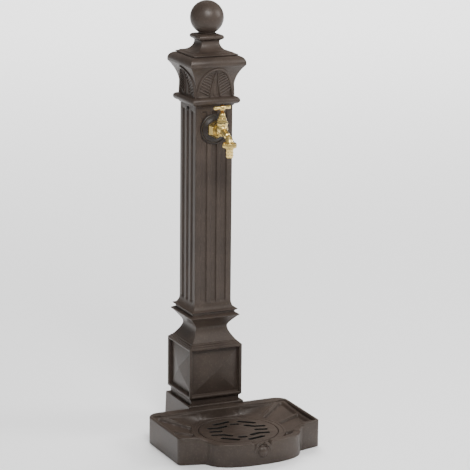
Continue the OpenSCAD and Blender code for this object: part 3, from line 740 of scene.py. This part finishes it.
def band_skin(band, high, count=64):
    """The half-round band along the arch."""
    rings = []
    for share in np.linspace(0, 1, count):
        outer, inner_edge = arch_point(share), arch_point(share, band)
        ring = []
        for t in np.linspace(0, math.pi, 7):
            p = inner_edge + (outer - inner_edge) * (0.5 - 0.5 * math.cos(t))
            ring.append((p[0], -high * math.sin(t), p[1]))
        ring += [(outer[0], 1.5, outer[1]), (inner_edge[0], 1.5, inner_edge[1])]
        rings.append(ring)
    return loft(rings)


def leg_skin(sign):
    """The midrib of one leaf, leaning in to the top of the arch."""
    rings = []
    for along in np.linspace(0, 1, 12):
        x = sign * (leg_foot * (1 - along) ** 1.15 + 1.2)
        half = 2.2 - 0.8 * along
        rings.append([(x + half * math.cos(t), 1.2 - 4.2 * math.sin(t), along * leg_top)
                      for t in np.linspace(0, math.pi, 7)])
    return loft(rings)


def tongue_skin():
    """The pointed tongue between the two midribs."""
    rings = []
    for along in np.linspace(0.02, 1, 12):
        half = 5.5 * math.sin(math.pi * (0.15 + 0.85 * along)) ** 0.8 + 0.3
        rings.append([(half * math.cos(t), 1.2 - 2.4 * math.sin(t), along * leg_top * 0.62)
                      for t in np.linspace(0, math.pi, 7)])
    return loft(rings)


def source(name, skin, unit=MM):
    """A loose mesh that a node tree takes copies of; its height is in the unit given."""
    mesh = bpy.data.meshes.new(name)
    points, faces = skin
    mesh.from_pydata([(x * MM, y * MM, z * unit) for x, y, z in points], [], faces)
    round_off(mesh, 50)
    made = added(name, mesh)
    return made


def barb_roots():
    """A point for each barb on its midrib, with the length that just reaches the arch."""
    places, longs, leans = [], [], []
    for i in range(barb_count):
        z = 2.5 + i * (leg_top - 9) / barb_count
        x = leg_foot * (1 - z / leg_top) ** 1.15 + 1.2
        reach = 0.0
        while ((x + reach * math.cos(barb_lean)) / (arch_w - 3)) ** 1.5 + (
                (z + reach * math.sin(barb_lean)) / (arch_h - 3)) ** 2 < 1:
            reach += 0.25
        for sign in (-1, 1):
            places.append((sign * x * MM, 0, z * MM))
            longs.append(reach * MM)
            leans.append(sign * (math.pi / 2 - barb_lean))
    mesh = bpy.data.meshes.new("roots")
    mesh.from_pydata(places, [], [])
    for name, numbers in (("long", longs), ("lean", leans)):
        mesh.attributes.new(name, "FLOAT", "POINT").data.foreach_set("value", numbers)
    made = added("roots", mesh)
    return made


def value(tree, operation, a, b=0.0, c=0.0):
    """A maths node's output."""
    return put(tree, "ShaderNodeMath", {0: a, 1: b, 2: c}, operation=operation).outputs[0]


def leaf_tree(barb, relief):
    """Sets the barbs on the midribs, wraps all of it on the bell and repeats it on four faces."""
    tree = bpy.data.node_groups.new("capital relief", "GeometryNodeTree")
    floats = ("Bell half", "Bell reach", "Bell rise", "Bell power", "Straight", "Foot", "Axis")
    kinds = [("Geometry", "NodeSocketGeometry"), *((name, "NodeSocketFloat") for name in floats),
             ("Paint", "NodeSocketMaterial")]
    for name, kind in kinds:
        tree.interface.new_socket(name, in_out="INPUT", socket_type=kind)
    tree.interface.new_socket("Geometry", in_out="OUTPUT", socket_type="NodeSocketGeometry")
    given = put(tree, "NodeGroupInput").outputs
    named = [put(tree, "GeometryNodeInputNamedAttribute", {"Name": name}, data_type="FLOAT").outputs[0]
             for name in ("long", "lean")]
    turned = put(tree, "ShaderNodeCombineXYZ", {"Y": named[1]}).outputs[0]
    sized = put(tree, "ShaderNodeCombineXYZ", {"X": 1.0, "Y": 1.0, "Z": named[0]}).outputs[0]
    one = put(tree, "GeometryNodeObjectInfo", {"Object": barb}).outputs["Geometry"]
    barbs = put(tree, "GeometryNodeInstanceOnPoints", {
        "Points": given["Geometry"], "Instance": one, "Rotation": turned, "Scale": sized}).outputs[0]
    both = put(tree, "GeometryNodeJoinGeometry")
    own_barbs = put(tree, "GeometryNodeRealizeInstances", {"Geometry": barbs}).outputs[0]
    own_relief = put(tree, "GeometryNodeObjectInfo", {"Object": relief}).outputs["Geometry"]
    tree.links.new(own_barbs, both.inputs[0])
    tree.links.new(own_relief, both.inputs[0])
    # outwards by the bell's curve at that height, and wider by the same share
    at = put(tree, "ShaderNodeSeparateXYZ", {
        "Vector": put(tree, "GeometryNodeInputPosition").outputs[0]}).outputs
    above = value(tree, "MAXIMUM", value(tree, "SUBTRACT", at["Z"], given["Straight"]), 0.0)
    climb = value(tree, "POWER", value(tree, "DIVIDE", above, given["Bell rise"]), given["Bell power"])
    out = value(tree, "MULTIPLY_ADD", climb, given["Bell reach"], given["Bell half"])
    wide = value(tree, "MULTIPLY", at["X"], value(tree, "DIVIDE", out, given["Bell half"]))
    moved = put(tree, "ShaderNodeCombineXYZ", {
        "X": wide, "Y": value(tree, "SUBTRACT", at["Y"], out),
        "Z": value(tree, "ADD", at["Z"], given["Foot"])}).outputs[0]
    wrapped = put(tree, "GeometryNodeSetPosition", {
        "Geometry": both.outputs[0], "Position": moved}).outputs[0]
    centre = put(tree, "ShaderNodeCombineXYZ", {"Y": given["Axis"]}).outputs[0]
    faces = put(tree, "GeometryNodePoints", {"Count": 4, "Position": centre}).outputs[0]
    index = put(tree, "GeometryNodeInputIndex").outputs[0]
    turn = put(tree, "ShaderNodeCombineXYZ", {"Z": value(tree, "MULTIPLY", index, math.pi / 2)}).outputs[0]
    four = put(tree, "GeometryNodeInstanceOnPoints", {
        "Points": faces, "Instance": wrapped, "Rotation": turn}).outputs[0]
    solid = put(tree, "GeometryNodeRealizeInstances", {"Geometry": four}).outputs[0]
    painted = put(tree, "GeometryNodeSetMaterial", {
        "Geometry": solid, "Material": given["Paint"]}).outputs[0]
    put(tree, "NodeGroupOutput", {"Geometry": painted})
    return tree


def grown(made, tree, settings, *sources):
    """Runs a node tree on a piece and leaves a plain mesh; the meshes it copied are removed."""
    modifier = made.modifiers.new("nodes", "NODES")
    modifier.node_group = tree
    for item in tree.interface.items_tree:
        if item.in_out == "INPUT" and item.name in settings:
            modifier[item.identifier] = settings[item.name]
    settled(made)
    for one in sources:
        bpy.data.objects.remove(one)
    return made


barb = source("barb", barb_skin(), unit=1)
relief = source("relief", joined(band_skin(6.4, 3.6), leg_skin(-1), leg_skin(1), tongue_skin()))
leaves = barb_roots()
leaves.name = "capital_relief"
grown(leaves, leaf_tree(barb, relief), {
    "Bell half": bell_half * MM, "Bell reach": bell_reach * MM, "Bell rise": bell_rise * MM,
    "Bell power": bell_power, "Straight": straight * MM, "Foot": throat_z * MM, "Axis": axis_y,
    "Paint": bronze_paint}, barb, relief)
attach(leaves, "root")


# ---- Roof and ball -------------------------------------------------------------------------
# The roof is a concave square casting with a round-edged slab on top. The ball is turned, and a
# stud draws it down on the slab.

roof_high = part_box("roof")[1]
slab_z = roof_high.z / MM - 14
roof_profile = [
    (54.5, cornice_top), (54.5, cornice_top + 1.6), (52.5, cornice_top + 2.6), (49, cornice_top + 3.2),
    (47.2, cornice_top + 5)]
roof_profile += quarter((45.5, cornice_top + 5.6), (22, slab_z - 3), 14) + [(22, slab_z - 1)]
roof_profile += arc(24.5, slab_z + 7, 5.5, -72, 72, 10) + [(21, roof_high.z / MM)]
roof = bevelled(piece("roof_casting", *column_skin(roof_profile), bronze_paint), 0.8, 40)
round_off(roof.data, 40)
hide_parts("roof")
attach(roof, "root")


def turned_skin(profile, segments=64, hollow=False):
    """A turned piece about the Z axis, from radii and heights. A hollow one closes on itself."""
    rings = []
    for r, z in profile:
        r = max(r, 0.01)
        rings.append([(r * math.cos(t), r * math.sin(t), z)
                      for t in np.linspace(0, 2 * math.pi, segments, endpoint=False)])
    return loft(rings, closed=hollow)


ball_low, ball_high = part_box("ball")
ball_r = (ball_high.x - ball_low.x) / 2 / MM
ball_z = ball_high.z / MM - ball_r
roof_top = roof_high.z / MM
ball_profile = [
    (0.01, roof_top), (18, roof_top), (19.4, roof_top + 1), (20, roof_top + 3),
    (19.4, roof_top + 5.2), (18.4, roof_top + 6.2)]
start_angle = -math.degrees(math.acos(18.2 / ball_r))
ball_profile += arc(0, ball_z, ball_r, start_angle, 90, 40)
ball = piece("ball_finial", *turned_skin(ball_profile, 96), bronze_paint, crease=50)
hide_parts("ball")
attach(ball, "root")


# ---- Tap -----------------------------------------------------------------------------------
# A polished brass bib tap: a coned nut clamps the rose to the column, and above the cast body
# stand the bonnet, the gland nut and a spindle with a T-handle.


def brass(name, main, shade, roughness):
    """Polished brass that weather has dulled in patches, with fine turning marks."""
    material, tree, shader, place = new_material(name)
    cloud = noise(tree, place, 60, 4)
    tone = put(tree, "ShaderNodeMix", {
        "Factor": cloud, "A": linear(shade), "B": linear(main)}, data_type="RGBA")
    gloss = put(tree, "ShaderNodeMapRange", {
        "Value": cloud, "To Min": roughness + 0.1, "To Max": roughness - 0.06})
    marks = noise(tree, place, 900)
    bump = put(tree, "ShaderNodeBump", {
        "Strength": 0.05, "Distance": 0.0003, "Height": marks})
    finish_with(tree, shader, tone.outputs[2], gloss.outputs["Result"], bump.outputs["Normal"])
    shader.inputs["Metallic"].default_value = 1
    return material


tap_brass = brass("polished brass, lightly dulled", "#ECD38E", "#D6B76A", 0.27)
spindle_brass = brass("turned brass, darkened", "#A87B40", "#84592A", 0.35)

tap_h = 713.0
spindle_low, spindle_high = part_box("spindle")
spindle_y = ((spindle_low.y + spindle_high.y) / 2 - axis_y) / MM
union_low, union_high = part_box("union_nut")
outlet_y = ((union_low.y + union_high.y) / 2 - axis_y) / MM


def along_inlet(skin):
    """Lays a turned piece on the inlet, its Z axis pointing out of the column's face."""
    points, faces = skin
    return [(x, -z, y + tap_h) for x, y, z in points], faces


def stood(skin, y, z=0.0):
    """Moves a turned piece to stand at a distance in front of the column."""
    points, faces = skin
    return [(px, py + y, pz + z) for px, py, pz in points], faces


def six_sided(profile, start=0.0):
    """A hollow hexagon nut: each level has a turned radius, half the width across flats and a
    height."""
    rings = []
    for turned, flat, z in profile:
        ring = []
        for t in np.linspace(0, 2 * math.pi, 72, endpoint=False):
            lean = (t - math.radians(start)) % (math.pi / 3) - math.pi / 6
            radius = min(turned, flat / math.cos(lean))
            ring.append((radius * math.cos(t), radius * math.sin(t), z))
        rings.append(ring)
    return loft(rings, closed=True)


# A darker coat for the parts whose slots ask for dark paint, and for the tap's rose, where the darker coat
# is painted shade for the shadow round the tap.
dark_paint_and_rose_shade = cast_paint("dark bronze paint, painted shade on the rose", "#2C2520", "#241E19", "#40372F")
rose_r = 35.0
rose_out = 52.5
rose_profile = [
    (0.01, shaft_half), (rose_r, shaft_half), (rose_r, 47.4), (34, 48.6), (32.6, 49.2), (31, 48.6),
    (29.6, 48.2), (27, 49.4), (25, 50.2), (23, 51.8), (22, rose_out), (0.01, rose_out)]
# The rose takes the darker coat: painted shade for the shadow round the tap.
rose = piece("tap_rose", *along_inlet(turned_skin(rose_profile, 96)), dark_paint_and_rose_shade, crease=40)
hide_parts("rose")
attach(rose, "root")

no_flats = 99.0
wall_half = 18.5
wall_bore = 13.1
wall_out = 68.5
wall_profile = [
    (wall_bore, no_flats, rose_out), (20.4, wall_half, rose_out), (21.4, wall_half, 53.3),
    (21.4, wall_half, 57.6), (21.2, 18.2, 58.2), (19.5, 16.6, 62.0), (17.0, 14.6, 67.2),
    (16.2, 14.0, 68.2), (15.4, 13.9, wall_out), (wall_bore, no_flats, wall_out)]
wall_skin = six_sided(wall_profile, 30)
wall_nut = piece("wall_nut_brass", *along_inlet(wall_skin), tap_brass, crease=20)
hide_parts("wall_nut")
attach(wall_nut, "root")


def cast_in_one(made, voxel, passes):
    """Merges a piece's overlapping skins into one casting with soft edges."""
    remesh = made.modifiers.new("cast", "REMESH")
    remesh.mode = "VOXEL"
    remesh.voxel_size = voxel * MM
    soften = made.modifiers.new("soften", "SMOOTH")
    soften.iterations = passes
    settled(made)


def all_brass(made):
    """Smooth shading and polished brass all over."""
    made.data.shade_smooth()
    made.data.materials.clear()
    made.data.materials.append(tap_brass)


body_z = 721.0
body_top = 735.0
spout_z = 696.0
inlet_profile = [
    (0.01, 62), (12.4, 62), (12.4, wall_out), (11.5, 70.5), (10.8, 74), (10.8, 84), (0.01, 84)]
neck_profile = [
    (0.01, body_z), (12, body_z), (12, body_top - 5), (13.2, body_top - 3.6), (13.2, body_top),
    (0.01, body_top)]
spout_path = [
    (0, spindle_y + 4, body_z - 1), (0, spindle_y - 6, body_z - 4), (0, spindle_y - 18, body_z - 8.5),
    (0, spindle_y - 29, body_z - 13), (0, outlet_y + 5, spout_z + 8.5),
    (0, outlet_y + 1, spout_z + 3.5), (0, outlet_y, spout_z - 1)]
spout_radii = [9, 8.8, 8.2, 7.8, 8, 8.6, 9.4]
mouth_profile = [
    (0.01, spout_z - 2), (10.4, spout_z - 2), (10.4, spout_z + 2.2), (9.6, spout_z + 3),
    (0.01, spout_z + 3)]
casting = joined(
    along_inlet(turned_skin(inlet_profile, 48)),
    stood(ball_skin((0, 0, body_z), 13.4, 40, 24), spindle_y),
    stood(turned_skin(neck_profile, 48), spindle_y),
    tube_skin(spout_path, spout_radii, 28),
    stood(turned_skin(mouth_profile, 48), outlet_y),
)
tap_body = piece("tap_body_brass", *casting, tap_brass)
cast_in_one(tap_body, 0.55, 7)

# a pocket wide and deep enough for the moving valve parts
valve_boxes = [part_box(name) for name in ("spindle", "jumper", "jumper_washer")]
pocket_r = max(high.x - low.x for low, high in valve_boxes) / 2 / MM + 0.6
pocket_z = min(low.z for low, high in valve_boxes) / MM - 1
pocket_top = body_top + 2
pocket_profile = [(0.01, pocket_z), (pocket_r, pocket_z), (pocket_r, pocket_top), (0.01, pocket_top)]
pocket = piece("pocket", *stood(turned_skin(pocket_profile, 48), spindle_y), tap_brass)
bore = tap_body.modifiers.new("bore", "BOOLEAN")
bore.operation = "DIFFERENCE"
bore.solver = "EXACT"
bore.object = pocket
settled(tap_body)
bpy.data.objects.remove(pocket)
all_brass(tap_body)
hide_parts("tap_body")
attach(tap_body, "root")

bonnet_z = body_top + 1
bonnet_h = 9.0
bonnet_half = 9.5
stem_r = 4.1
bonnet_profile = [
    (stem_r, no_flats, 0), (11.8, no_flats, 0), (12.3, no_flats, 0.6), (12.3, no_flats, 2.4),
    (11.6, no_flats, 3), (10.9, bonnet_half, 3.2), (10.9, bonnet_half, 7.9),
    (9.6, bonnet_half, bonnet_h), (stem_r, no_flats, bonnet_h)]
bonnet_skin = six_sided(bonnet_profile)
bonnet = piece("bonnet_brass", *stood(bonnet_skin, spindle_y, bonnet_z), tap_brass, crease=28)
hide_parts("bonnet")
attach(bonnet, "root")

gland_profile = [
    (stem_r, 0), (7.9, 0), (8.3, 0.5), (8.3, 2.6), (7.9, 3.1), (7.5, 3.6), (6.8, 9.4), (6.3, 10.2),
    (5.9, 10.6), (5.7, 11.7), (5.2, 12), (stem_r, 12)]
gland_skin = stood(turned_skin(gland_profile, 48, hollow=True), spindle_y, bonnet_z + bonnet_h)
gland_nut = piece("gland_nut_brass", *gland_skin, tap_brass, crease=28)
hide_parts("gland_nut")
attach(gland_nut, "root")

handle_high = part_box("handle")[1]
handle_z = handle_high.z / MM - 4.5
handle_half = 22.0
handle_turn = math.radians(10)
bar_profile = [
    (0.01, -handle_half), (2.6, -handle_half + 0.2), (4.0, -handle_half + 1.2),
    (4.5, -handle_half + 2.8), (4.4, -handle_half + 6), (4.0, -9), (4.1, -5), (4.3, 0)]
bar_profile += [(r, -z) for r, z in bar_profile[-2::-1]]
bar_points, bar_faces = turned_skin(bar_profile, 32)
bar_points = [(z * math.cos(handle_turn) - x * math.sin(handle_turn),
               z * math.sin(handle_turn) + x * math.cos(handle_turn), y) for x, y, z in bar_points]
hub_profile = [
    (0.01, -6), (5.0, -6), (5.8, -5.2), (6.0, -2), (5.8, 2.4), (5.0, 4), (3.8, 4.5), (0.01, 4.5)]
handle_skin = joined((bar_points, bar_faces), turned_skin(hub_profile, 40))
handle = piece("t_handle", *stood(handle_skin, spindle_y, handle_z), tap_brass)
cast_in_one(handle, 0.4, 5)
all_brass(handle)
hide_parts("handle")
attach(handle, "spindle")


# ---- Outlet --------------------------------------------------------------------------------
# A union nut with a ribbed grip holds a barbed hose tail on the spout.

nut_z = union_low.z / MM
nut_h = (union_high.z - union_low.z) / MM
nut_r = 15.0
nut_profile = [
    (9.2, 0), (14.2, 0), (nut_r, 0.9), (nut_r, nut_h - 1.2), (14.2, nut_h - 0.2), (13.2, nut_h),
    (12.6, nut_h)]


def grip_tree(rib_mesh):
    """Stands ribs round the nut, joined to the turned nut."""
    tree = bpy.data.node_groups.new("grip ribs", "GeometryNodeTree")
    for name, kind in (("Geometry", "NodeSocketGeometry"), ("Ribs", "NodeSocketInt"),
                       ("Radius", "NodeSocketFloat"), ("Centre", "NodeSocketVector"),
                       ("Brass", "NodeSocketMaterial")):
        tree.interface.new_socket(name, in_out="INPUT", socket_type=kind)
    tree.interface.new_socket("Geometry", in_out="OUTPUT", socket_type="NodeSocketGeometry")
    given = put(tree, "NodeGroupInput").outputs
    circle = put(tree, "GeometryNodeMeshCircle", {
        "Vertices": given["Ribs"], "Radius": given["Radius"]}).outputs[0]
    index = put(tree, "GeometryNodeInputIndex").outputs[0]
    share = value(tree, "DIVIDE", index, given["Ribs"])
    turn = put(tree, "ShaderNodeCombineXYZ", {"Z": value(tree, "MULTIPLY", share, 2 * math.pi)}).outputs[0]
    copy = put(tree, "GeometryNodeObjectInfo", {"Object": rib_mesh}).outputs["Geometry"]
    ribs = put(tree, "GeometryNodeInstanceOnPoints", {
        "Points": circle, "Instance": copy, "Rotation": turn}).outputs[0]
    moved = put(tree, "GeometryNodeTransform", {
        "Geometry": ribs, "Translation": given["Centre"]}).outputs[0]
    both = put(tree, "GeometryNodeJoinGeometry")
    tree.links.new(given["Geometry"], both.inputs[0])
    tree.links.new(moved, both.inputs[0])
    solid = put(tree, "GeometryNodeRealizeInstances", {"Geometry": both.outputs[0]}).outputs[0]
    done = put(tree, "GeometryNodeSetMaterial", {"Geometry": solid, "Material": given["Brass"]}).outputs[0]
    put(tree, "NodeGroupOutput", {"Geometry": done})
    return tree


grip_profile = [
    (0.01, 1.0), (0.5, 1.1), (0.85, 1.6), (0.85, nut_h - 2.2), (0.5, nut_h - 1.6), (0.01, nut_h - 1.5)]
grip = source("grip", turned_skin(grip_profile, 10))
nut_skin = stood(turned_skin(nut_profile, 72, hollow=True), outlet_y, nut_z)
union_nut = piece("union_nut_brass", *nut_skin, tap_brass, crease=28)
nut_centre = (0, axis_y + outlet_y * MM, nut_z * MM)
grown(union_nut, grip_tree(grip), {
    "Ribs": 28, "Radius": (nut_r - 0.05) * MM, "Centre": nut_centre, "Brass": tap_brass}, grip)
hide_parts("union_nut")
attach(union_nut, "root")

tail_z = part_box("hose_tail")[0].z / MM
tail_bore = 5.9
tail_r = 7.75
tail_profile = [(tail_bore, tail_z), (7.2, tail_z), (tail_r, tail_z + 0.6), (tail_r, tail_z + 1.8)]
for ridge in range(3):
    z = tail_z + 2 + 7 * ridge
    tail_profile += [(7.8, z), (8.7, z + 3.7), (8.75, z + 4), (8.4, z + 4.2), (tail_r, z + 4.3)]
tail_profile += [(tail_r, nut_z + 1), (tail_bore, nut_z + 1)]
tail_skin = stood(turned_skin(tail_profile, 56, hollow=True), outlet_y)
tail = piece("hose_tail_brass", *tail_skin, tap_brass, crease=28)
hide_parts("hose_tail")
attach(tail, "root")


# ---- Pieces that keep their own shape ------------------------------------------------------
# Screws, washers, seals, pipe and valve parts are plain turned or moulded pieces, so they only
# take their finish here.


def plain_metal(name, colour, roughness):
    """A plain metal, faintly streaked by drawing or turning."""
    material, tree, shader, place = new_material(name)
    streak = noise(tree, place, 240, 3)
    gloss = put(tree, "ShaderNodeMapRange", {
        "Value": streak, "To Min": roughness - 0.06, "To Max": roughness + 0.1})
    darker = [c * 0.86 for c in linear(colour)[:3]] + [1]
    tone = put(tree, "ShaderNodeMix", {
        "Factor": streak, "A": darker, "B": linear(colour)}, data_type="RGBA")
    tree.links.new(tone.outputs[2], shader.inputs["Base Color"])
    tree.links.new(gloss.outputs["Result"], shader.inputs["Roughness"])
    shader.inputs["Metallic"].default_value = 1
    return material


def moulded(name, colour, roughness):
    """Matte rubber or plastic with a fine spark-eroded grain."""
    material, tree, shader, place = new_material(name)
    grain = noise(tree, place, 700)
    bump = put(tree, "ShaderNodeBump", {
        "Strength": 0.2, "Distance": 0.0002, "Height": grain})
    darker = [c * 0.8 for c in linear(colour)[:3]] + [1]
    tone = put(tree, "ShaderNodeMix", {
        "Factor": grain, "A": darker, "B": linear(colour)}, data_type="RGBA")
    tree.links.new(tone.outputs[2], shader.inputs["Base Color"])
    tree.links.new(bump.outputs["Normal"], shader.inputs["Normal"])
    shader.inputs["Roughness"].default_value = roughness
    return material


finishes = {
    "zinc_steel": plain_metal("zinc plated steel", "#B9BBBD", 0.34),
    "plain_brass": plain_metal("machined brass", "#C9A25E", 0.32),
    "copper_pipe": plain_metal("drawn copper", "#C57B52", 0.3),
    "spindle_brass": spindle_brass,
    "tap_brass": tap_brass,
    "dark_screw": dark_paint_and_rose_shade,
    "cast_dark": dark_paint_and_rose_shade,
    "cast_bronze_paint": bronze_paint,
    "rubber": moulded("black rubber", "#232323", 0.75),
    "black_plastic": moulded("black moulded plastic", "#2A2A2B", 0.5),
}
for part in frame["record"]["subparts"]:
    node = frame["nodes"][part["node"]]
    node.data.materials.clear()
    node.data.materials.append(finishes[part["material_slot"]])


# ---- Studio --------------------------------------------------------------------------------
# A wide pale floor and soft lights from the front, the right and above, with a weak one on the
# left, under a pale surround.

floor_mesh = bpy.data.meshes.new("floor")
floor_mesh.from_pydata(square_ring(40, 0), [], [(0, 1, 2, 3)])
floor_mesh.materials.append(plain_coat("pale studio paper", "#F8F8F8", 0.9))
studio_floor = added("floor", floor_mesh)


def soft_light(name, at, target, size, power):
    """A square light aimed at a point."""
    light = bpy.data.lights.new(name, "AREA")
    light.shape = "SQUARE"
    light.size = size
    light.energy = power
    made = added(name, light)
    made.location = at
    made.rotation_euler = (Vector(target) - Vector(at)).to_track_quat("-Z", "Y").to_euler()
    return made


soft_light("left light", (-2.0, -0.6, 1.8), (0, axis_y, 0.7), 1.0, 4)
soft_light("right light", (2.0, -0.8, 1.7), (0, axis_y, 0.75), 0.8, 32)
soft_light("front light", (-0.3, -1.9, 2.4), (0, axis_y, 0.6), 0.8, 24)
soft_light("top light", (-0.3, -1.0, 1.8), (0, axis_y, 0.9), 0.6, 20)
floor_light = soft_light("floor light", (3.6, 7.0, 7.0), (3.6, 6.5, 0), 8.0, 2100)
floor_light.visible_glossy = False

world = bpy.data.worlds.new("surround")
bpy.context.scene.world = world
world.use_nodes = True
surround = world.node_tree.nodes["Background"]
surround.inputs["Color"].default_value = linear("#FFFFFF")
surround.inputs["Strength"].default_value = 0.24
